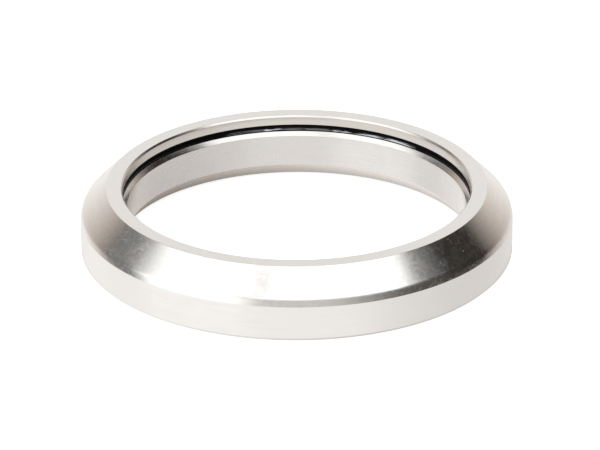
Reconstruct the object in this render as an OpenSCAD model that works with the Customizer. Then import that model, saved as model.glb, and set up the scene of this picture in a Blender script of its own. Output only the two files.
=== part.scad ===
// Sealed angular-contact headset bearing, lying flat with the bevel of its outer ring up.
// Every ring is one turned section, drawn as [radius, height] and revolved about Z.
// The resting face of the outer ring is at z = 0.

/* [Main sizes] */
// Outside diameter of the ground wall
outer_d = 51; // [50.5:0.1:52]
// Diameter of the bore
bore_d = 40; // [39.5:0.1:40.5]
// Height of the outer ring, which is the height of the bearing
height = 8; // [7.9:0.1:9]

/* [Outer ring] */
// Height of the straight ground wall
wall_h = 4.3; // [3.5:0.1:4.6]
// Height of the outer bevel, measured along the axis
bevel_h = 2.86; // [2.5:0.02:3]
// Angle of the outer bevel to the axis
bevel_deg = 45; // [40:1:47]
// How far the turned neck under the bevel draws in from the wall
neck_step = 0.2; // [0.06:0.02:0.4]
// Radius that blends the neck into the bevel
neck_blend_r = 1; // [0.2:0.1:1]
// Chamfer at the foot of the wall
foot_chamfer = 0.35; // [0.1:0.05:0.5]
// How far the lip over the seal stands back from the bore of the inner ring
lip_setback = 0.5; // [0.3:0.05:0.7]
// Thickness of the lip over the seal
lip_t = 1.2; // [0.9:0.05:1.3]
// Chamfer at the top edge of the lip
lip_chamfer = 0.2; // [0.1:0.05:0.4]
// Small radius left on the turned edges
edge_r = 0.08; // [0.03:0.01:0.1]

/* [Inner ring] */
// How far the inner ring stands above the resting face
inner_lift = 0.2; // [0.1:0.05:0.4]
// Height of the seat bevel under the bore, measured along the axis
seat_h = 1.55; // [1.2:0.05:1.7]
// Angle of the seat bevel to the axis
seat_deg = 36; // [30:1:40]
// Height of the lead-in bevel on top of the bore
lead_h = 0.48; // [0.3:0.02:0.8]
// Width of the lead-in bevel on top of the bore
lead_w = 0.45; // [0.2:0.05:0.5]
// Chamfer on the outer edges of the inner ring
land_chamfer = 0.15; // [0.05:0.05:0.2]

/* [Balls and raceways] */
// Diameter of a ball
ball_d = 3.175; // [2.8:0.025:3.2]
// Number of balls
ball_count = 30; // [24:1:30]
// Contact angle of the balls
contact_deg = 45; // [42:1:48]
// Radius of a raceway as a share of the ball's diameter
race_ratio = 0.52; // [0.515:0.005:0.53]
// Running gap between a ball and each raceway
race_gap = 0.02; // [0.01:0.005:0.03]
// How far the rim beside each raceway stands proud, to hold the balls in
snap_rim = 0.04; // [0.03:0.005:0.05]
// How far the outer ring's shoulder reaches in past the pitch circle
outer_shoulder = 0.55; // [0.4:0.05:0.7]
// How far the inner ring's shoulder stays inside the pitch circle
inner_shoulder = 0.45; // [0.3:0.05:0.6]

/* [Cage] */
// Thickness of the cage's fingers across the contact line
cage_t = 1.7; // [1.2:0.1:1.8]
// How far the fingers reach past the middle of the balls
snap_reach = 0.75; // [0.5:0.05:0.9]
// Gap between a ball and its pocket
pocket_gap = 0.05; // [0.03:0.01:0.08]
// Gap between the cage and the rings
cage_gap = 0.08; // [0.05:0.01:0.1]
// Gap between the cage and the lower seal
cage_lift = 0.2; // [0.1:0.05:0.3]

/* [Seals] */
// Thickness of the upper seal
upper_seal_t = 0.74; // [0.5:0.02:0.8]
// Thickness of the lower seal
lower_seal_t = 0.6; // [0.4:0.05:0.7]
// How far the lower seal is recessed from the resting face
lower_recess = 0.55; // [0.35:0.05:0.7]
// Depth of the grooves that hold the seals in the outer ring
groove_depth = 0.4; // [0.3:0.05:0.45]
// Gap between a seal and the ring that it runs on
seal_gap = 0.05; // [0.03:0.01:0.08]
// Gap between a seal and its groove
seal_fit = 0.02; // [0.01:0.01:0.04]
// Depth of the moulded hollow in the face of each seal
seal_hollow = 0.14; // [0.05:0.01:0.18]

/* [Hidden] */

$fn = 180;

// Steps in a rounded corner: fine on a blend that shows, few on a broken edge
function arc_steps(r) = r > 0.15 ? 10 : 2;

outer_r = outer_d / 2;
bore_r = bore_d / 2;

// Outer ring, outside
neck_r = outer_r - neck_step;
bevel_z = height - bevel_h;
face_r = neck_r - bevel_h * tan(bevel_deg);
lip_r = bore_r + lip_setback;
lip_z = height - lip_t;

// Balls, midway between the bore and the wall
ball_r = ball_d / 2;
pitch_r = (bore_r + outer_r) / 2;
ball_z = height / 2;
race_r = ball_d * race_ratio;

// The raceways' centres lie a little off the balls' centres along the contact line,
// so that a ball comes nearest to each raceway at the contact angle
race_offset = race_r - ball_r - race_gap;
outer_race = [pitch_r, ball_z] - race_offset * across(1);
inner_race = [pitch_r, ball_z] + race_offset * across(1);

// Raceway shoulders and the plain lands on their open sides
outer_shoulder_r = pitch_r - outer_shoulder;
inner_shoulder_r = pitch_r - inner_shoulder;
outer_land_r = outer_race[0] + race_r - snap_rim;
inner_land_r = inner_race[0] - race_r + snap_rim;

// Seals and their grooves
upper_groove_r = outer_shoulder_r + groove_depth;
upper_seal_z = lip_z - seal_fit - upper_seal_t;
upper_ledge_z = upper_seal_z - seal_fit;
lower_groove_r = outer_land_r + groove_depth;
lower_seal_top_z = lower_recess + lower_seal_t;

// Inner ring, between the resting face and the upper seal
inner_top_z = upper_seal_z - seal_gap;
seat_w = seat_h * tan(seat_deg);

// Cage
pocket_r = ball_r + pocket_gap;
cage_outer_r = outer_land_r - cage_gap;
cage_inner_r = inner_shoulder_r + 2 * cage_gap;
cage_z = lower_seal_top_z + cage_lift;

// Name of a ball, such as ball_07
function ball_name(i) = str("ball_", i < 10 ? "0" : "", i);

// A step of length t along the contact line, from the inner raceway to the outer one
function across(t) = t * [cos(contact_deg), sin(contact_deg)];

// A step of length s square to the contact line, up and in
function along(s) = s * [-sin(contact_deg), cos(contact_deg)];

// Height at radius r of the line that runs square to the contact line, t outside the balls' centres
function band_z(t, r) = ball_z + t * sin(contact_deg)
    + (pitch_r + t * cos(contact_deg) - r) / tan(contact_deg);

// Corner c between points a and b, rounded with radius r
function round_corner(a, c, b, r) =
    let (
        u = (a - c) / norm(a - c),
        v = (b - c) / norm(b - c),
        half = acos(max(-1, min(1, u * v))) / 2,
        centre = c + (u + v) / norm(u + v) * r / sin(half),
        from = c + u * r / tan(half) - centre,
        to = c + v * r / tan(half) - centre,
        start = atan2(from[1], from[0]),
        turn = atan2(from[0] * to[1] - from[1] * to[0], from * to)
    )
    [for (i = [0 : arc_steps(r)])
        let (w = start + turn * i / arc_steps(r))
        centre + r * [cos(w), sin(w)]];

// Outline of a list of [radius, height, rounding], sharp where the rounding is 0
function outline(list) = [
    for (i = [0 : len(list) - 1])
        let (
            n = len(list),
            p = list[i],
            c = [p[0], p[1]],
            before = list[(i + n - 1) % n],
            after = list[(i + 1) % n]
        )
        each (p[2] == 0
            ? [c]
            : round_corner([before[0], before[1]], c, [after[0], after[1]], p[2]))
];

// Section of the outer ring: bevel up, lip over the upper seal, open land below the raceway
module outer_ring_section() {
    difference() {
        polygon(outline([
            [outer_r - foot_chamfer, 0, edge_r],
            [outer_r, foot_chamfer, edge_r],
            [outer_r, wall_h, edge_r],
            [neck_r, bevel_z, neck_blend_r],
            [face_r, height, edge_r],
            [lip_r + lip_chamfer, height, 0],
            [lip_r, height - lip_chamfer, 0],
            [lip_r, lip_z, edge_r],
            [outer_shoulder_r, lip_z, 0],
            [outer_shoulder_r, outer_race[1], 0],
            [outer_land_r, outer_race[1], 0],
            [outer_land_r, land_chamfer, 0],
            [outer_land_r + land_chamfer, 0, 0]
        ]));
        translate(outer_race) circle(r = race_r);
        translate([outer_shoulder_r - groove_depth, upper_ledge_z])
            square([2 * groove_depth, lip_z - upper_ledge_z]);
        translate([outer_land_r - groove_depth, lower_recess - seal_fit])
            square([2 * groove_depth, lower_seal_t + 2 * seal_fit]);
    }
}

// Section of the inner ring: seat bevel below the bore, lead-in bevel above it
module inner_ring_section() {
    difference() {
        polygon(outline([
            [bore_r + seat_w, inner_lift, edge_r],
            [inner_shoulder_r - land_chamfer, inner_lift, 0],
            [inner_shoulder_r, inner_lift + land_chamfer, 0],
            [inner_shoulder_r, inner_race[1], 0],
            [inner_land_r, inner_race[1], 0],
            [inner_land_r, inner_top_z - land_chamfer, 0],
            [inner_land_r - land_chamfer, inner_top_z, 0],
            [bore_r + lead_w, inner_top_z, 0],
            [bore_r, inner_top_z - lead_h, edge_r],
            [bore_r, inner_lift + seat_h, edge_r]
        ]));
        translate(inner_race) circle(r = race_r);
    }
}

// Section of the upper seal: bead in the groove, hollow inner face, lip over the inner ring
module upper_seal_section() {
    bead_r = upper_groove_r - seal_fit;
    top_z = lip_z - seal_fit;
    polygon(outline([
        [bead_r, upper_seal_z, edge_r],
        [bead_r, top_z, edge_r],
        [lip_r + seal_hollow, top_z, 0],
        [lip_r + seal_hollow, top_z - upper_seal_t / 3, edge_r],
        [lip_r, upper_seal_z + upper_seal_t / 3, edge_r],
        [lip_r, upper_seal_z, edge_r]
    ]));
}

// Section of the lower seal: bead in the groove, hollow under face, lip at the inner ring
module lower_seal_section() {
    bead_r = lower_groove_r - seal_fit;
    lip_in_r = inner_shoulder_r + seal_gap;
    hollow_from_r = lip_in_r + lower_seal_t;
    hollow_to_r = outer_land_r - lower_seal_t / 2;
    polygon(outline([
        [lip_in_r, lower_recess, edge_r],
        [hollow_from_r - seal_hollow, lower_recess, edge_r],
        [hollow_from_r, lower_recess + seal_hollow, edge_r],
        [hollow_to_r - seal_hollow, lower_recess + seal_hollow, edge_r],
        [hollow_to_r, lower_recess, edge_r],
        [bead_r, lower_recess, edge_r],
        [bead_r, lower_seal_top_z, edge_r],
        [lip_in_r + seal_hollow, lower_seal_top_z, edge_r],
        [lip_in_r, lower_seal_top_z - seal_hollow, edge_r]
    ]));
}

// Section of the cage: a base ring under the balls, from which the fingers lean in between them
module cage_section() {
    half = cage_t / 2;
    tip_out = [pitch_r, ball_z] + along(snap_reach) + across(half);
    tip_in = [pitch_r, ball_z] + along(snap_reach) - across(half);
    polygon(outline([
        [cage_inner_r, cage_z, edge_r],
        [cage_outer_r, cage_z, edge_r],
        [cage_outer_r, band_z(half, cage_outer_r), 0],
        [tip_out[0], tip_out[1], 0],
        [tip_in[0], tip_in[1], 0],
        [cage_inner_r, band_z(-half, cage_inner_r), 0]
    ]));
}

// Places its children at ball i
module at_ball(i) {
    rotate([0, 0, (i - 1) * 360 / ball_count]) translate([pitch_r, 0, ball_z]) children();
}

module outer_ring() {
    color("gainsboro") rotate_extrude() outer_ring_section();
}

module inner_ring() {
    color("lightgray") rotate_extrude() inner_ring_section();
}

module upper_seal() {
    color([0.06, 0.06, 0.07]) rotate_extrude() upper_seal_section();
}

module lower_seal() {
    color([0.06, 0.06, 0.07]) rotate_extrude() lower_seal_section();
}

module ball_cage() {
    color("ivory") difference() {
        rotate_extrude() cage_section();
        for (i = [1 : ball_count]) at_ball(i) sphere(r = pocket_r, $fn = 64);
    }
}

module ball(i) {
    color("silver") at_ball(i) sphere(r = ball_r, $fn = 64);
}

outer_ring();
inner_ring();
upper_seal();
lower_seal();
ball_cage();
for (i = [1 : ball_count])
    ball(i);
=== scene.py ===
import math

import bmesh
import bpy
from mathutils import Matrix, Vector


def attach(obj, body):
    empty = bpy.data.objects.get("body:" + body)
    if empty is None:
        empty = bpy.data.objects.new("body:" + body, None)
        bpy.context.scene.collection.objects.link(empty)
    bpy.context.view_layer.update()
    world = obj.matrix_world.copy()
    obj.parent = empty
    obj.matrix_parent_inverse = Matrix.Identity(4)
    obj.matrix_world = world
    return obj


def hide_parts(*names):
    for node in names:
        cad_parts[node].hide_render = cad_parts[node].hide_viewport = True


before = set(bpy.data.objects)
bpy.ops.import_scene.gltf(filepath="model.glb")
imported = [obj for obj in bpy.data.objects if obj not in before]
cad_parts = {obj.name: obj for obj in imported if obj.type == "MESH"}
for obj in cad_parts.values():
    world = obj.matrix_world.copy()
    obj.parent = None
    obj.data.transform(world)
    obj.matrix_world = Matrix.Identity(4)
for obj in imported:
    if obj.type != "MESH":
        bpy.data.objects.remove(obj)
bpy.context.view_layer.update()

mm = 0.001
micrometre = 1e-6
white, black = (1, 1, 1, 1), (0, 0, 0, 1)
scene = bpy.context.scene
scene.view_settings.view_transform = "Standard"


# Camera: a long lens a little above the bearing
cameraSettings = {
    "target": (0, 0, 3.825 * mm),    # a point on the bearing's axis
    "distance": 510 * mm,
    "elevation": 24.68,              # degrees above the table
    "roll": -0.20,
    "pixelsPerMm": 8.466,            # at the target
    "targetPixel": (296.72, 216.92),
    "frameSize": (600, 450),
    "sensorWidth": 36,
    "clip": (0.01, 20),
}


def makeCamera(s):
    wide, high = s["frameSize"]
    across, down = s["targetPixel"]
    data = bpy.data.cameras.new("camera")
    data.sensor_width = s["sensorWidth"]
    data.lens = s["pixelsPerMm"] * s["distance"] / mm * s["sensorWidth"] / wide
    data.shift_x = (wide / 2 - across) / wide
    data.shift_y = (down - high / 2) / wide
    data.clip_start, data.clip_end = s["clip"]
    camera = bpy.data.objects.new("camera", data)
    scene.collection.objects.link(camera)
    up = math.radians(s["elevation"])
    back = Vector((0, -math.cos(up), math.sin(up)))
    turn = back.to_track_quat("Z", "Y").to_matrix().to_4x4()
    turn = turn @ Matrix.Rotation(math.radians(s["roll"]), 4, "Z")
    camera.matrix_world = Matrix.Translation(Vector(s["target"]) + back * s["distance"]) @ turn
    scene.camera = camera


makeCamera(cameraSettings)
print("camera made")


# Feeds a node's inputs with plain values or with the sockets of other nodes
def feedNode(tree, node, inputs):
    for key, value in inputs.items():
        if isinstance(value, bpy.types.NodeSocket):
            tree.links.new(value, node.inputs[key])
        else:
            node.inputs[key].default_value = value
    return node


def addNode(tree, kind, inputs=None, **settings):
    node = tree.nodes.new("ShaderNode" + kind)
    for name, value in settings.items():
        setattr(node, name, value)
    return feedNode(tree, node, inputs or {})


def mathNode(tree, operation, *values):
    return addNode(tree, "Math", dict(enumerate(values)), operation=operation).outputs[0]


# Mixes two colours or values by a mask
def mixNode(tree, mask, a, b, kind="RGBA", blend="MIX"):
    node = addNode(tree, "Mix", data_type=kind)
    if kind == "RGBA":
        node.blend_type = blend
    first, result = {"FLOAT": (2, 0), "RGBA": (6, 2)}[kind]
    return feedNode(tree, node, {0: mask, first: a, first + 1: b}).outputs[result]


# Goes from low to high while the value goes from start to stop, eased or in a straight line
def rampNode(tree, value, start, stop, low=0.0, high=1.0, eased=True):
    inputs = {"Value": value, "From Min": start, "From Max": stop, "To Min": low, "To Max": high}
    shape = "SMOOTHSTEP" if eased else "LINEAR"
    return addNode(tree, "MapRange", inputs, interpolation_type=shape).outputs[0]


def newMaterial(name):
    material = bpy.data.materials.new(name)
    material.use_nodes = True
    tree = material.node_tree
    tree.nodes.clear()
    where = addNode(tree, "TexCoord").outputs["Object"]
    return material, tree, where


# Studio: a softbox overhead and to the left, a pale sweep behind and a dimmer room at the right.
# Edges are planes through the object: a direction, and where along it the mask goes from 0 to 1
studioSettings = {
    "diffuse": (0.86, 0.86, 0.86, 1),
    "softbox": (1.38, 1.38, 1.37, 1),
    "softboxEdges": [((0, 1, -0.27), 0.125, -0.20), ((0.8, 0.5, -0.2), 0.37, 0.24)],
    "softboxHaze": [((0.8, 0.5, -0.2), 0.64, 0.22), (0.44, 0.43, 0.42, 1)],
    "softboxFoot": ((0, 0, 1), 0.37, 0.66),
    "softboxSeam": ((0.87, -0.494, 0), 0.10, (1.05, 1.01, 1.00, 1)),
    "leftPanel": ((-1, 0, 0), 0.26, 0.6),
    "panelEdge": ((0, 1, -0.18), 0.30, -0.23),
    "sweepLow": ((-0.04, 1, -0.2), 0.33, 0.63),
    "sweepHigh": ((-0.04, 1, -0.2), 0.63, 0.99),
    "sweepDark": (0.035, 0.030, 0.026, 1),
    "sweepMiddle": (0.55, 0.485, 0.435, 1),
    "sweepBright": (0.97, 0.94, 0.90, 1),
    "sweepGlow": [((0, 0.907, 0.42), 0.86, 0.96), black, (1.08, 1.06, 1.03, 1)],
    "paperEdge": ((0, 0, -1), 0.15, 0.36),
    "paper": [((1, 0.75, 0), -0.15, 1.12), (1.05, 1.025, 1.005, 1), (0.81, 0.78, 0.755, 1)],
    "sides": [((1, 0, 0), -0.4, 0.3), (0.205, 0.205, 0.20, 1), (0.034, 0.028, 0.024, 1)],
    "front": [((1, 0, 0), 0.15, 1.0), (0.66, 0.64, 0.62, 1), (0.08, 0.073, 0.066, 1)],
    "frontEdge": ((0, -1, 0), -0.1, 0.35),
}


def makeWorld(s):
    world = bpy.data.worlds.new("studio")
    world.use_nodes = True
    scene.world = world
    tree = world.node_tree
    tree.nodes.clear()
    direction = addNode(tree, "TexCoord").outputs["Generated"]

    def along(axis):
        return addNode(tree, "VectorMath", {0: direction, 1: axis}, operation="DOT_PRODUCT").outputs["Value"]

    def edge(plane, eased=True):
        axis, start, stop = plane
        return rampNode(tree, along(axis), start, stop, eased=eased)

    def tones(name, eased=True):
        plane, first, second = s[name]
        return mixNode(tree, edge(plane, eased), first, second)

    room = mixNode(tree, edge(s["frontEdge"]), tones("sides"), tones("front"))
    high = edge(s["softboxFoot"])
    hazeEdge, hazeTone = s["softboxHaze"]
    haze = mixNode(tree, mathNode(tree, "MULTIPLY", edge(hazeEdge), high), black, hazeTone)
    sweep = mixNode(tree, edge(s["sweepLow"], eased=False), s["sweepDark"], s["sweepMiddle"])
    sweep = mixNode(tree, edge(s["sweepHigh"], eased=False), sweep, s["sweepBright"])
    for light in (haze, sweep, tones("sweepGlow")):
        room = mixNode(tree, 1.0, room, light, blend="LIGHTEN")
    box = mathNode(tree, "MULTIPLY", *[edge(plane) for plane in s["softboxEdges"]])
    panel = mathNode(tree, "MULTIPLY", edge(s["leftPanel"]), edge(s["panelEdge"]))
    axis, seamWidth, seamTone = s["softboxSeam"]
    seam = rampNode(tree, mathNode(tree, "ABSOLUTE", along(axis)), 0.0, seamWidth)
    seam = mathNode(tree, "MAXIMUM", seam, mathNode(tree, "SUBTRACT", 1.0, high))
    cloth = mixNode(tree, seam, seamTone, s["softbox"])
    room = mixNode(tree, mathNode(tree, "MULTIPLY", box, mathNode(tree, "MAXIMUM", high, panel)), room, cloth)
    room = mixNode(tree, edge(s["paperEdge"]), room, tones("paper", eased=False))
    path = addNode(tree, "LightPath")
    sky = mixNode(tree, path.outputs["Is Diffuse Ray"], room, s["diffuse"])
    sky = mixNode(tree, path.outputs["Is Camera Ray"], sky, white)
    background = addNode(tree, "Background", {"Color": sky, "Strength": 1.0})
    addNode(tree, "OutputWorld", {"Surface": background.outputs[0]})


makeWorld(studioSettings)

# The floor is white paper. Metal sees painted shade on it instead: an emission under the rings and at the
# foot of the wall, each from a left tone to a right one along x. The rest of the paper is the world's. Ramps
# run outwards from the bearing's axis: from one radius to another, and from one strength to another
floorSettings = {
    "size": 4,                       # metres
    "paint": (0.78, 0.78, 0.78, 1),
    "glow": 0.70,                    # what the camera sees beside the light on the paint
    # Painted shade, seen only in metal: tones under the rings and at the foot of the wall, from left to right
    # along x, and a strength that dims them from 20 to 21.3 mm
    "under": [(-20 * mm, 18 * mm), (0.50, 0.455, 0.41, 1), (1.20, 1.17, 1.13, 1)],
    "foot": [(-20 * mm, 18 * mm), (1.55, 1.53, 1.50, 1), (1.05, 1.02, 0.99, 1)],
    "footEdge": (23 * mm, 24 * mm),
    "shade": (20 * mm, 21.3 * mm, 1.0, 0.6),
    "innerEdge": (18.8 * mm, 20.2 * mm, 0.0, 1.0),
    "outerEdge": (25.3 * mm, 26.3 * mm, 1.0, 0.0),
}


def makeFloor(s):
    bm = bmesh.new()
    bmesh.ops.create_grid(bm, x_segments=1, y_segments=1, size=s["size"] / 2)
    mesh = bpy.data.meshes.new("floor")
    bm.to_mesh(mesh)
    bm.free()
    floor = bpy.data.objects.new("floor", mesh)
    scene.collection.objects.link(floor)
    material, tree, where = newMaterial("floorPaper")
    path = addNode(tree, "LightPath")
    radius = addNode(tree, "VectorMath", {0: where}, operation="LENGTH").outputs["Value"]
    along = addNode(tree, "SeparateXYZ", {0: where}).outputs["X"]

    def tones(name):
        ends, left, right = s[name]
        return mixNode(tree, rampNode(tree, along, *ends), left, right)

    # Painted shade: the tones that metal sees under the rings and at the foot of the wall, in place of the
    # shadow on the paper
    paintedShade = mixNode(tree, rampNode(tree, radius, *s["footEdge"]), tones("under"), tones("foot"))
    shade = rampNode(tree, radius, *s["shade"])
    inside, outside = (rampNode(tree, radius, *s[name]) for name in ("innerEdge", "outerEdge"))
    paper = addNode(tree, "BsdfDiffuse", {"Color": s["paint"]}).outputs[0]
    glow = mathNode(tree, "MULTIPLY", path.outputs["Is Camera Ray"], s["glow"])
    glow = addNode(tree, "Emission", {"Strength": glow}).outputs[0]
    seen = addNode(tree, "AddShader", {0: paper, 1: glow}).outputs[0]
    clear = addNode(tree, "BsdfTransparent").outputs[0]
    paintedShadeInMetal = addNode(tree, "Emission", {"Color": paintedShade, "Strength": shade}).outputs[0]
    cover = mathNode(tree, "MULTIPLY", inside, outside)
    paintedShadeInMetal = addNode(tree, "MixShader", {0: cover, 1: clear, 2: paintedShadeInMetal}).outputs[0]
    reflected = mathNode(tree, "MAXIMUM", path.outputs["Is Glossy Ray"], path.outputs["Is Transmission Ray"])
    both = addNode(tree, "MixShader", {0: reflected, 1: seen, 2: paintedShadeInMetal}).outputs[0]
    addNode(tree, "OutputMaterial", {"Surface": both})
    mesh.materials.append(material)


makeFloor(floorSettings)
print("studio made")


# Node groups shared by the materials: a place and named values go in, and one value comes out
def newGroup(name, inputs, result):
    group = bpy.data.node_groups.new(name, "ShaderNodeTree")
    group.interface.new_socket(name="Vector", in_out="INPUT", socket_type="NodeSocketVector")
    for label, value in inputs.items():
        socket = group.interface.new_socket(name=label, in_out="INPUT", socket_type="NodeSocketFloat")
        socket.default_value = value
    group.interface.new_socket(name=result, in_out="OUTPUT", socket_type="NodeSocketFloat")
    return group, group.nodes.new("NodeGroupInput").outputs, group.nodes.new("NodeGroupOutput").inputs[0]


def placeGroup(tree, group, inputs):
    node = tree.nodes.new("ShaderNodeGroup")
    node.node_tree = group
    return feedNode(tree, node, inputs).outputs[0]


patternSettings = {
    "turningMarks": {"Along": 6.0, "Across": 5000.0},
    "markDetail": 4.0, "markRoughness": 0.65,
    "smudges": {"Size": 500.0, "Swirl": 1.0, "Fine": 5.0},
    "smudgeRoughness": 0.6,
    "specks": {"Spacing": 400.0, "Size": 0.12, "Share": 0.1},
}


# Marks that run round the axis, as a lathe or a grinding wheel leaves them
def makeTurningMarks(s):
    tree, given, result = newGroup("turningMarks", s["turningMarks"], "Marks")
    split = addNode(tree, "SeparateXYZ", {0: given["Vector"]})
    flat = addNode(tree, "CombineXYZ", {"X": split.outputs["X"], "Y": split.outputs["Y"]}).outputs[0]
    radius = addNode(tree, "VectorMath", {0: flat}, operation="LENGTH").outputs["Value"]
    around = addNode(tree, "VectorMath", {0: flat}, operation="NORMALIZE").outputs[0]
    around = addNode(tree, "VectorMath", {0: around, "Scale": given["Along"]}, operation="SCALE").outputs[0]
    height = mathNode(tree, "MULTIPLY", split.outputs["Z"], given["Across"])
    height = addNode(tree, "CombineXYZ", {"Z": height}).outputs[0]
    place = addNode(tree, "VectorMath", {0: around, 1: height}, operation="ADD").outputs[0]
    depth = mathNode(tree, "MULTIPLY", radius, given["Across"])
    noise = addNode(tree, "TexNoise", {"Vector": place, "W": depth, "Scale": 1.0, "Detail": s["markDetail"],
                                       "Roughness": s["markRoughness"]}, noise_dimensions="4D")
    tree.links.new(noise.outputs["Fac"], result)
    return tree


# Cloudy smudges, such as handling leaves on polished steel
def makeSmudges(s):
    tree, given, result = newGroup("smudges", s["smudges"], "Cloud")
    noise = addNode(tree, "TexNoise", {"Vector": given["Vector"], "Scale": given["Size"],
                                       "Detail": given["Fine"], "Roughness": s["smudgeRoughness"],
                                       "Distortion": given["Swirl"]})
    tree.links.new(noise.outputs["Fac"], result)
    return tree


# A few fine specks of dust and nicks
def makeSpecks(s):
    tree, given, result = newGroup("specks", s["specks"], "Mask")
    cells = addNode(tree, "TexVoronoi", {"Vector": given["Vector"], "Scale": given["Spacing"]})
    near = mathNode(tree, "LESS_THAN", cells.outputs["Distance"], given["Size"])
    chance = addNode(tree, "SeparateColor", {0: cells.outputs["Color"]}).outputs[0]
    few = mathNode(tree, "LESS_THAN", chance, given["Share"])
    tree.links.new(mathNode(tree, "MULTIPLY", near, few), result)
    return tree


turningMarks = makeTurningMarks(patternSettings)
smudges = makeSmudges(patternSettings)
specks = makeSpecks(patternSettings)


# A colour made darker or lighter, channel by channel
def tinted(colour, tint):
    return (*(channel * share for channel, share in zip(colour, tint)), 1)


# Steel finishes: marks run round the ring, and smudges, ripples, scuffs and specks lie on it.
#   stretch  how far the gloss is drawn out across the marks
#   marks    lines round the ring and across it, and the roughness and depth that they add
#   cloud    scale of the smudges, and the roughness that they add
#   ripple   scale and depth of the waves in the smudges
#   tint     how far marks and smudges darken and lighten the colour
#   specks   share of the places for a speck that have one
#   scuffs   scale, width and added roughness of curled scuffs
# Scales are per metre, and depths are in micrometres
steelSettings = {
    "groundWall": {
        "colour": (0.86, 0.85, 0.835), "tint": 0.03, "rough": 0.24, "stretch": 0.5, "specks": 0.01,
        "marks": (5, 2600, 0.08, 0.5), "cloud": (160, 0.03), "ripple": (2500, 0.03),
    },
    "polishedBevel": {
        "colour": (0.85, 0.835, 0.82), "tint": 0.05, "rough": 0.15, "stretch": 0.2, "specks": 0.05,
        "marks": (4, 2200, 0.04, 0.4), "cloud": (1500, 0.08), "ripple": (3000, 0.26),
        "scuffs": (650, 0.035, 0.10),
    },
    "turnedFace": {
        "colour": (0.72, 0.705, 0.69), "tint": 0.035, "rough": 0.28, "stretch": 0.3, "specks": 0.01,
        "marks": (5, 3000, 0.08, 0.6), "cloud": (220, 0.04), "ripple": (2500, 0.05),
    },
    "lipWall": {
        "colour": (0.66, 0.635, 0.60), "tint": 0.04, "rough": 0.22, "stretch": 0.4, "specks": 0.01,
        "marks": (5, 3000, 0.08, 0.6), "cloud": (260, 0.04), "ripple": (2500, 0.05),
    },
    "brushedBore": {
        "colour": (0.765, 0.75, 0.73), "tint": 0.05, "rough": 0.28, "stretch": 0.7, "specks": 0.01,
        "marks": (2.5, 3400, 0.14, 1.6), "cloud": (220, 0.04), "ripple": (2500, 0.04),
    },
    "turnedBevel": {
        "colour": (0.77, 0.75, 0.73), "tint": 0.04, "rough": 0.20, "stretch": 0.3, "specks": 0.01,
        "marks": (4, 3500, 0.08, 0.8), "cloud": (900, 0.06), "ripple": (2500, 0.08),
    },
    "seatBevel": {
        "colour": (0.78, 0.755, 0.73), "tint": 0.05, "rough": 0.26, "stretch": 0.3, "specks": 0.0,
        "marks": (4, 3500, 0.08, 0.8), "cloud": (900, 0.06), "ripple": (2500, 0.05),
    },
    "raceway": {
        "colour": (0.80, 0.79, 0.78), "tint": 0.02, "rough": 0.10, "stretch": 0.0, "specks": 0.0,
        "marks": (4, 6000, 0.05, 0.2), "cloud": (500, 0.04), "ripple": (900, 0.1),
    },
    "ball": {
        "colour": (0.83, 0.83, 0.83), "tint": 0.02, "rough": 0.06, "stretch": 0.0, "specks": 0.0,
        "marks": (4, 3000, 0.0, 0.0), "cloud": (1200, 0.04), "ripple": (1500, 0.05),
    },
}
# What all the finishes share. A range is where a pattern goes from none to full
steelBase = {
    "cloudSwirl": 1.2,
    "cloudRange": (0.42, 0.58),      # smudges that dull the steel and ripple it
    "cloudLift": 1 / 3,              # share of a smudge's roughness taken off everywhere
    "rippleSwirl": 2.0,
    "rippleFine": 2.0,
    "rippleRest": 0.3,               # share of the ripples between the smudges
    "tintRange": (0.35, 0.65),       # mean of marks and smudges
    "scuffSwirl": 1.0,
    "scuffFine": 1.5,
    "scuffGaps": (0.47, 0.53),       # coarser smudges that keep the scuffs in patches
    "speckSpacing": 1100,
    "speckSize": 0.07,
    "speckColour": (0.80, 0.79, 0.77, 1),
    "speckRough": 0.6,
    "stretchTurn": 0.25,
}


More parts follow.
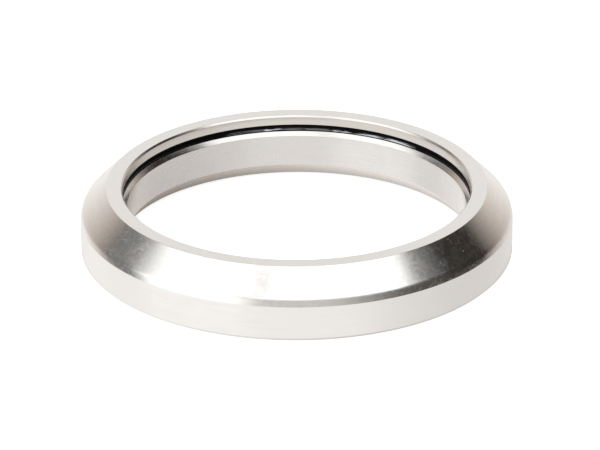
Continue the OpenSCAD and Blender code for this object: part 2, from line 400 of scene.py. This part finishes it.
def makeSteel(name, s):
    material, tree, where = newMaterial(name)
    markAlong, markAcross, markRough, markDepth = s["marks"]
    cloudSize, cloudRough = s["cloud"]
    rippleSize, rippleDepth = s["ripple"]

    def smudgesOf(size, swirl, **fine):
        return placeGroup(tree, smudges, {"Vector": where, "Size": size, "Swirl": swirl, **fine})

    marks = placeGroup(tree, turningMarks, {"Vector": where, "Along": markAlong, "Across": markAcross})
    cloud = smudgesOf(cloudSize, s["cloudSwirl"])
    ripple = smudgesOf(rippleSize, s["rippleSwirl"], Fine=s["rippleFine"])
    speck = placeGroup(tree, specks, {"Vector": where, "Spacing": s["speckSpacing"], "Size": s["speckSize"],
                                      "Share": s["specks"]})
    mean = mathNode(tree, "MULTIPLY", mathNode(tree, "ADD", marks, cloud), 0.5)
    shade = rampNode(tree, mean, *s["tintRange"], eased=False)
    dark, light = ([share] * 3 for share in (1 - s["tint"], 1 + s["tint"]))
    colour = mixNode(tree, shade, tinted(s["colour"], dark), tinted(s["colour"], light))
    colour = mixNode(tree, speck, colour, s["speckColour"])
    patch = rampNode(tree, cloud, *s["cloudRange"])
    rough = mathNode(tree, "MULTIPLY_ADD", marks, markRough, s["rough"] - markRough / 2)
    rough = mathNode(tree, "SUBTRACT", rough, cloudRough * s["cloudLift"])
    rough = mathNode(tree, "MULTIPLY_ADD", patch, cloudRough, rough)
    if "scuffs" in s:
        scuffSize, scuffWidth, scuffRough = s["scuffs"]
        curl = smudgesOf(scuffSize, s["scuffSwirl"], Fine=s["scuffFine"])
        away = mathNode(tree, "ABSOLUTE", mathNode(tree, "SUBTRACT", curl, 0.5))
        scuff = rampNode(tree, away, 0.0, scuffWidth, 1.0, 0.0, eased=False)
        some = smudgesOf(scuffSize / 2, 0.0, Fine=1.0)
        some = rampNode(tree, some, *s["scuffGaps"], eased=False)
        rough = mathNode(tree, "MULTIPLY_ADD", mathNode(tree, "MULTIPLY", scuff, some), scuffRough, rough)
    rough = mixNode(tree, speck, rough, s["speckRough"], kind="FLOAT")
    wave = mathNode(tree, "MULTIPLY_ADD", patch, rippleDepth, rippleDepth * s["rippleRest"])
    wave = mathNode(tree, "MULTIPLY", ripple, wave)
    height = mathNode(tree, "MULTIPLY_ADD", marks, markDepth, wave)
    bump = addNode(tree, "Bump", {"Strength": 1.0, "Distance": micrometre, "Height": height})
    shader = addNode(tree, "BsdfPrincipled", {"Base Color": colour, "Metallic": 1.0, "Roughness": rough,
                                              "Anisotropic": s["stretch"],
                                              "Anisotropic Rotation": s["stretchTurn"],
                                              "Normal": bump.outputs[0]})
    addNode(tree, "OutputMaterial", {"Surface": shader.outputs[0]})
    return material


steels = {name: makeSteel(name, {**steelBase, **s}) for name, s in steelSettings.items()}

# Black rubber, with smears of grease on the lip at the back of the ring, which are also painted glints: there
# the rubber turns into a bright, smooth metal that shows the lip's highlights. A band is the four places
# where its mask starts to rise, is full, starts to fall and is gone, in mm. A smear is a band along x with
# its strength.
# Depths are in micrometres
rubberSettings = {
    "colour": (0.0018, 0.0018, 0.0022),
    "tints": [(0.7, 0.7, 0.7), (1.4, 1.4, 1.5)],
    "rough": 0.30,
    "roughSpread": 0.22,
    "gloss": 0.05,
    "cloud": (700, 1.5, 16.0),       # scale, swirl and depth
    "grain": (9000, 0.0, 0.6),
    "lip": (6.06, 6.13, 6.28, 6.42),
    # Where the painted glints lie along x, and their bright colour and smoothness
    "greaseGlintSmears": [((-4.3, -3.6, -2.2, -1.4), 1.0), ((4.0, 4.9, 13.2, 14.6), 1.0), ((-9.0, -7.5, 4.0, 4.6), 0.3)],
    "greaseGlintMarks": {"Along": 8.0, "Across": 7000.0},
    "greaseGlintRange": (0.43, 0.52),
    "greaseGlintColour": (0.62, 0.64, 0.66, 1),
    "greaseGlintRough": 0.14,
}


def makeRubber(s):
    material, tree, where = newMaterial("sealRubber")
    cloudSize, cloudSwirl, cloudDepth = s["cloud"]
    grainSize, grainSwirl, grainDepth = s["grain"]
    cloud = placeGroup(tree, smudges, {"Vector": where, "Size": cloudSize, "Swirl": cloudSwirl})
    grain = placeGroup(tree, smudges, {"Vector": where, "Size": grainSize, "Swirl": grainSwirl})
    greaseGlintNoise = placeGroup(tree, turningMarks, {"Vector": where, **s["greaseGlintMarks"]})
    split = addNode(tree, "SeparateXYZ", {0: where})

    def band(value, places):
        rise, full, fall, end = (place * mm for place in places)
        return mathNode(tree, "MULTIPLY", rampNode(tree, value, rise, full), rampNode(tree, value, end, fall))

    greaseGlintSmeared = 0.0
    for places, strength in s["greaseGlintSmears"]:
        greaseGlintSmear = mathNode(tree, "MULTIPLY", band(split.outputs["X"], places), strength)
        greaseGlintSmeared = mathNode(tree, "MAXIMUM", greaseGlintSmeared, greaseGlintSmear)
    atBack = mathNode(tree, "GREATER_THAN", split.outputs["Y"], 0.0)
    greaseGlintMask = rampNode(tree, greaseGlintNoise, *s["greaseGlintRange"])
    # Painted glints: the grease smears, at the back and on the lip, broken up by the marks
    greaseAndGlints = greaseGlintSmeared
    for mask in (atBack, band(split.outputs["Z"], s["lip"]), greaseGlintMask):
        greaseAndGlints = mathNode(tree, "MULTIPLY", greaseAndGlints, mask)
    colour = mixNode(tree, cloud, *[tinted(s["colour"], tint) for tint in s["tints"]])
    # Where the smears lie the rubber becomes a bright metal: painted glints along the lip
    colour = mixNode(tree, greaseAndGlints, colour, s["greaseGlintColour"])
    rough = mathNode(tree, "MULTIPLY_ADD", cloud, s["roughSpread"], s["rough"] - s["roughSpread"] / 2)
    rough = mixNode(tree, greaseAndGlints, rough, s["greaseGlintRough"], kind="FLOAT")
    height = mathNode(tree, "MULTIPLY_ADD", grain, grainDepth, mathNode(tree, "MULTIPLY", cloud, cloudDepth))
    bump = addNode(tree, "Bump", {"Strength": 1.0, "Distance": micrometre, "Height": height})
    shader = addNode(tree, "BsdfPrincipled", {"Base Color": colour, "Metallic": greaseAndGlints, "Roughness": rough,
                                              "Specular IOR Level": s["gloss"],
                                              "Normal": bump.outputs[0]})
    addNode(tree, "OutputMaterial", {"Surface": shader.outputs[0]})
    return material


# Moulded nylon of the cage: its clouds tint it and its grain roughens it
nylonSettings = {
    "colour": (0.78, 0.73, 0.60),
    "tints": [(0.92, 0.90, 0.86), (1.06, 1.06, 1.08)],
    "rough": 0.48,
    "roughSpread": 0.2,
    "cloud": {"Size": 500, "Swirl": 0.6},
    "grain": {"Size": 7000, "Swirl": 0.0},
    "grainDepth": 4.0,               # micrometres
    "grainStrength": 0.6,
    "glowThrough": (0.15, 0.6 * mm),  # weight and reach of the light inside it
}


def makeNylon(s):
    material, tree, where = newMaterial("cageNylon")
    cloud, grain = (placeGroup(tree, smudges, {"Vector": where, **s[name]}) for name in ("cloud", "grain"))
    weight, reach = s["glowThrough"]
    colour = mixNode(tree, cloud, *[tinted(s["colour"], tint) for tint in s["tints"]])
    rough = mathNode(tree, "MULTIPLY_ADD", grain, s["roughSpread"], s["rough"] - s["roughSpread"] / 2)
    bump = addNode(tree, "Bump", {"Strength": s["grainStrength"], "Distance": s["grainDepth"] * micrometre,
                                  "Height": grain})
    shader = addNode(tree, "BsdfPrincipled", {"Base Color": colour, "Roughness": rough,
                                              "Subsurface Weight": weight, "Subsurface Scale": reach,
                                              "Normal": bump.outputs[0]})
    addNode(tree, "OutputMaterial", {"Surface": shader.outputs[0]})
    return material


rubber, nylon = makeRubber(rubberSettings), makeNylon(nylonSettings)
finishes = {**steels, "rubber": rubber}
print("materials made")


# Sizes that the rings and seals share, in mm: radii from the bearing's axis, heights above the table
bearingSettings = {
    "outside": 25.5,
    "bore": 20.0,
    "height": 8.0,
    "ball": 3.175,                   # diameter
    "contact": 45,                   # angle of the contact line, in degrees
    "raceShare": 0.52,               # race radius as a share of the ball's diameter
    "raceGap": 0.02,                 # running gap between ball and race
    "snapRim": 0.04,                 # how far a land stands proud of its race
    "outerShoulderIn": 0.55,         # shoulders, inside the pitch circle
    "innerShoulderIn": 0.45,
    "lipSetback": 0.5,               # the outer ring's lip, outside the bore
    "lipThick": 1.2,
    "upperSeal": 0.74,               # thickness of the seals
    "lowerSeal": 0.6,
    "lowerRecess": 0.55,             # height of the lower seal over the table
    "grooveDeep": 0.4,               # grooves that hold the seals
    "sealFit": 0.02,                 # play of a seal in its groove
    "sealGap": 0.05,                 # between a seal and the inner ring
    "hollow": 0.14,                  # relief in the faces of the seals
    "landChamfer": 0.15,
    "hiddenRound": 0.03,             # rounding of the corners inside the bearing
    "ringSteps": 288,
    "raceSteps": 14,
    "roundSegments": 3,
    "blendSegments": 8,              # for roundings larger than blendFrom
    "blendFrom": 0.2,
}


# Works out where the races, lands, grooves and seals lie. The centres of the races lie a little off the
# balls' centres along the contact line
def layOut(s):
    pitch, middle = (s["bore"] + s["outside"]) / 2, s["height"] / 2
    race, angle = s["ball"] * s["raceShare"], math.radians(s["contact"])
    offset = race - s["ball"] / 2 - s["raceGap"]
    out, up = offset * math.cos(angle), offset * math.sin(angle)
    outerLand = pitch - out + race - s["snapRim"]
    outerShoulder = pitch - s["outerShoulderIn"]
    lipFoot = s["height"] - s["lipThick"]
    upperSealTop = lipFoot - s["sealFit"]
    upperSealFoot = upperSealTop - s["upperSeal"]
    return {
        **s,
        "race": race,
        "outerRace": (pitch - out, middle - up),
        "innerRace": (pitch + out, middle + up),
        "outerLand": outerLand,
        "innerLand": pitch + out - race + s["snapRim"],
        "outerShoulder": outerShoulder,
        "innerShoulder": pitch - s["innerShoulderIn"],
        "lip": s["bore"] + s["lipSetback"],
        "lipFoot": lipFoot,
        "upperGroove": outerShoulder + s["grooveDeep"],
        "lowerGroove": outerLand + s["grooveDeep"],
        "upperSealTop": upperSealTop,
        "upperSealFoot": upperSealFoot,
        "lowerSealTop": s["lowerRecess"] + s["lowerSeal"],
        "innerTop": upperSealFoot - s["sealGap"],
    }


# Angle in degrees at which a race's circle reaches a radius, above its centre
def raceAngle(b, race, radius):
    return math.degrees(math.acos((radius - b[race][0]) / b["race"]))


# Each section below is a loop of corners (radius, height, rounding, finish of the band that follows) and
# races (centre radius, centre height, radius, from angle, to angle, finish)
outerRingSettings = {
    "wallHigh": 4.3,
    "neckIn": 0.2,                   # the neck between wall and bevel, inside the wall
    "bevelHigh": 2.86,
    "bevelWide": 2.86,
    "footChamfer": 0.35,
    "lipChamfer": 0.2,
    "footRound": 0.06,               # roundings, from the foot up the outside to the lip
    "wallFootRound": 0.08,
    "wallTopRound": 0.06,
    "neckRound": 1.0,
    "faceRound": 0.09,
    "lipRound": 0.05,
    "lipFootRound": 0.06,
}


def outerRingSection(s, b):
    outside, height, lip, land, fine = b["outside"], b["height"], b["lip"], b["outerLand"], b["hiddenRound"]
    neck, ledge = outside - s["neckIn"], b["upperSealFoot"] - b["sealFit"]
    grooveFoot, grooveTop = b["lowerRecess"] - b["sealFit"], b["lowerSealTop"] + b["sealFit"]
    return [
        (outside - s["footChamfer"], 0, s["footRound"], "groundWall"),
        (outside, s["footChamfer"], s["wallFootRound"], "groundWall"),
        (outside, s["wallHigh"], s["wallTopRound"], "polishedBevel"),
        (neck, height - s["bevelHigh"], s["neckRound"], "polishedBevel"),
        (neck - s["bevelWide"], height, s["faceRound"], "turnedFace"),
        (lip + s["lipChamfer"], height, s["lipRound"], "turnedBevel"),
        (lip, height - s["lipChamfer"], s["lipRound"], "lipWall"),
        (lip, b["lipFoot"], s["lipFootRound"], "raceway"),
        (b["upperGroove"], b["lipFoot"], fine, "raceway"),
        (b["upperGroove"], ledge, fine, "raceway"),
        (b["outerShoulder"], ledge, fine, "raceway"),
        (*b["outerRace"], b["race"], raceAngle(b, "outerRace", b["outerShoulder"]),
         -raceAngle(b, "outerRace", land), "raceway"),
        (land, grooveTop, fine, "raceway"),
        (b["lowerGroove"], grooveTop, fine, "raceway"),
        (b["lowerGroove"], grooveFoot, fine, "raceway"),
        (land, grooveFoot, fine, "turnedFace"),
        (land, b["landChamfer"], fine, "turnedFace"),
        (land + b["landChamfer"], 0, fine, "turnedFace"),
    ]


innerRingSettings = {
    "lift": 0.2,                     # over the table
    "seatHigh": 1.55,
    "seatAngle": 36,                 # from the axis, in degrees
    "leadHigh": 0.48,                # the lead-in bevel at the top of the bore
    "leadWide": 0.45,
    "seatFootRound": 0.06,
    "seatTopRound": 0.08,
    "leadFootRound": 0.07,
    "leadTopRound": 0.05,
}


def innerRingSection(s, b):
    bore, top, lift, fine = b["bore"], b["innerTop"], s["lift"], b["hiddenRound"]
    shoulder, land, chamfer = b["innerShoulder"], b["innerLand"], b["landChamfer"]
    seatWide = s["seatHigh"] * math.tan(math.radians(s["seatAngle"]))
    return [
        (bore + seatWide, lift, s["seatFootRound"], "turnedFace"),
        (shoulder - chamfer, lift, fine, "turnedFace"),
        (shoulder, lift + chamfer, fine, "raceway"),
        (*b["innerRace"], b["race"], 360 - raceAngle(b, "innerRace", shoulder),
         raceAngle(b, "innerRace", land), "raceway"),
        (land, top - chamfer, fine, "raceway"),
        (land - chamfer, top, fine, "raceway"),
        (bore + s["leadWide"], top, s["leadTopRound"], "turnedBevel"),
        (bore, top - s["leadHigh"], s["leadFootRound"], "brushedBore"),
        (bore, lift + s["seatHigh"], s["seatTopRound"], "seatBevel"),
    ]


upperSealSettings = {"round": 0.08}


# The upper seal's lip hangs under the outer ring's lip, with a step a third of the way down
def upperSealSection(s, b):
    bead, lip, edge = b["upperGroove"] - b["sealFit"], b["lip"], s["round"]
    top, foot, third = b["upperSealTop"], b["upperSealFoot"], b["upperSeal"] / 3
    return [
        (bead, foot, edge, "rubber"),
        (bead, top, edge, "rubber"),
        (lip + b["hollow"], top, b["hiddenRound"], "rubber"),
        (lip + b["hollow"], top - third, edge, "rubber"),
        (lip, foot + third, edge, "rubber"),
        (lip, foot, edge, "rubber"),
    ]


lowerSealSettings = {"round": 0.06}


# The lower seal is hollowed underneath, between its lip and its bead
def lowerSealSection(s, b):
    bead, lip = b["lowerGroove"] - b["sealFit"], b["innerShoulder"] + b["sealGap"]
    foot, top, hollow, edge = b["lowerRecess"], b["lowerSealTop"], b["hollow"], s["round"]
    hollowFrom, hollowTo = lip + b["lowerSeal"], b["outerLand"] - b["lowerSeal"] / 2
    return [
        (lip, foot, edge, "rubber"),
        (hollowFrom - hollow, foot, edge, "rubber"),
        (hollowFrom, foot + hollow, edge, "rubber"),
        (hollowTo - hollow, foot + hollow, edge, "rubber"),
        (hollowTo, foot, edge, "rubber"),
        (bead, foot, edge, "rubber"),
        (bead, top, edge, "rubber"),
        (lip + hollow, top, edge, "rubber"),
        (lip, top - hollow, edge, "rubber"),
    ]


def sectionPoint(radius, height):
    return Vector((radius * mm, 0, height * mm))


def isRace(entry):
    return len(entry) == 6


# Draws the section as a loop of edges and gives each edge's finish
def drawSection(bm, section, raceSteps):
    finishOf, first, last, lastFinish = {}, None, None, None
    for entry in section:
        if isRace(entry):
            radius, height, size, start, stop, finish = entry
            centre, angle = sectionPoint(radius, height), math.radians(start)
            vert = bm.verts.new(centre + Vector((math.cos(angle), 0, math.sin(angle))) * size * mm)
        else:
            radius, height, rounding, finish = entry
            vert = bm.verts.new(sectionPoint(radius, height))
        if last is not None:
            finishOf[bm.edges.new((last, vert))] = lastFinish
        first, last = first or vert, vert
        if isRace(entry):
            known = set(bm.edges)
            spun = bmesh.ops.spin(bm, geom=[vert], cent=centre, axis=(0, -1, 0),
                                  angle=math.radians(stop - start), steps=raceSteps)
            finishOf.update({edge: finish for edge in bm.edges if edge not in known})
            last = [v for v in spun["geom_last"] if isinstance(v, bmesh.types.BMVert)][0]
        lastFinish = finish
    finishOf[bm.edges.new((last, first))] = lastFinish
    return finishOf


# How far a rounding reaches along both sides of its corner
def roundingReach(section, index):
    here = Vector(section[index][:2])
    reach = []
    for step in (-1, 1):
        other = section[(index + step) % len(section)]
        if isRace(other):
            radius, height, size, start, stop, finish = other
            angle = math.radians(start if step == 1 else stop)
            other = (radius + size * math.cos(angle), height + size * math.sin(angle))
        reach.append((Vector(other[:2]) - here).normalized())
    return section[index][2] * math.tan((math.pi - reach[0].angle(reach[1])) / 2)


# Spins a section round the axis, band by band, and rounds its corners
def makeRing(name, section, b, body, node):
    bm = bmesh.new()
    finishOf = drawSection(bm, section, b["raceSteps"])
    order = list(dict.fromkeys(finishOf.values()))
    for index, finish in enumerate(order):
        edges = [edge for edge, edgeFinish in finishOf.items() if edgeFinish == finish]
        known = set(bm.faces)
        bmesh.ops.spin(bm, geom=edges, cent=(0, 0, 0), axis=(0, 0, 1), angle=2 * math.pi,
                       steps=b["ringSteps"], use_merge=True)
        for face in set(bm.faces) - known:
            face.material_index = index
    bmesh.ops.remove_doubles(bm, verts=bm.verts, dist=micrometre / 10)
    for index, entry in enumerate(section):
        if isRace(entry):
            continue
        radius, height, rounding, finish = entry
        edges = [e for e in bm.edges if all(abs(math.hypot(v.co.x, v.co.y) - radius * mm) < micrometre
                                            and abs(v.co.z - height * mm) < micrometre for v in e.verts)]
        bmesh.ops.bevel(bm, geom=edges, offset=roundingReach(section, index) * mm, offset_type="OFFSET",
                        segments=b["blendSegments"] if rounding > b["blendFrom"] else b["roundSegments"],
                        profile=0.5, affect="EDGES", material=-1)
    bmesh.ops.recalc_face_normals(bm, faces=bm.faces)
    for face in bm.faces:
        face.smooth = True
    mesh = bpy.data.meshes.new(name)
    bm.to_mesh(mesh)
    bm.free()
    for finish in order:
        mesh.materials.append(finishes[finish])
    ring = bpy.data.objects.new(name, mesh)
    scene.collection.objects.link(ring)
    ring.modifiers.new("flatFaces", "WEIGHTED_NORMAL").keep_sharp = True
    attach(ring, body)
    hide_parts(node)
    print(name, "made,", len(mesh.polygons), "faces")


bearing = layOut(bearingSettings)
outerRing = outerRingSection(outerRingSettings, bearing)
innerRing = innerRingSection(innerRingSettings, bearing)
upperSeal = upperSealSection(upperSealSettings, bearing)
lowerSeal = lowerSealSection(lowerSealSettings, bearing)
makeRing("outerRing", outerRing, bearing, "outer_ring", "outer_ring")
makeRing("innerRing", innerRing, bearing, "inner_ring", "inner_ring")
makeRing("upperSeal", upperSeal, bearing, "outer_ring", "upper_seal")
makeRing("lowerSeal", lowerSeal, bearing, "outer_ring", "lower_seal")

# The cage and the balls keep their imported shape
for name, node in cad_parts.items():
    if name == "ball_cage" or name.startswith("ball_"):
        node.data.materials.clear()
        node.data.materials.append(nylon if name == "ball_cage" else steels["ball"])
print("cage and balls finished")
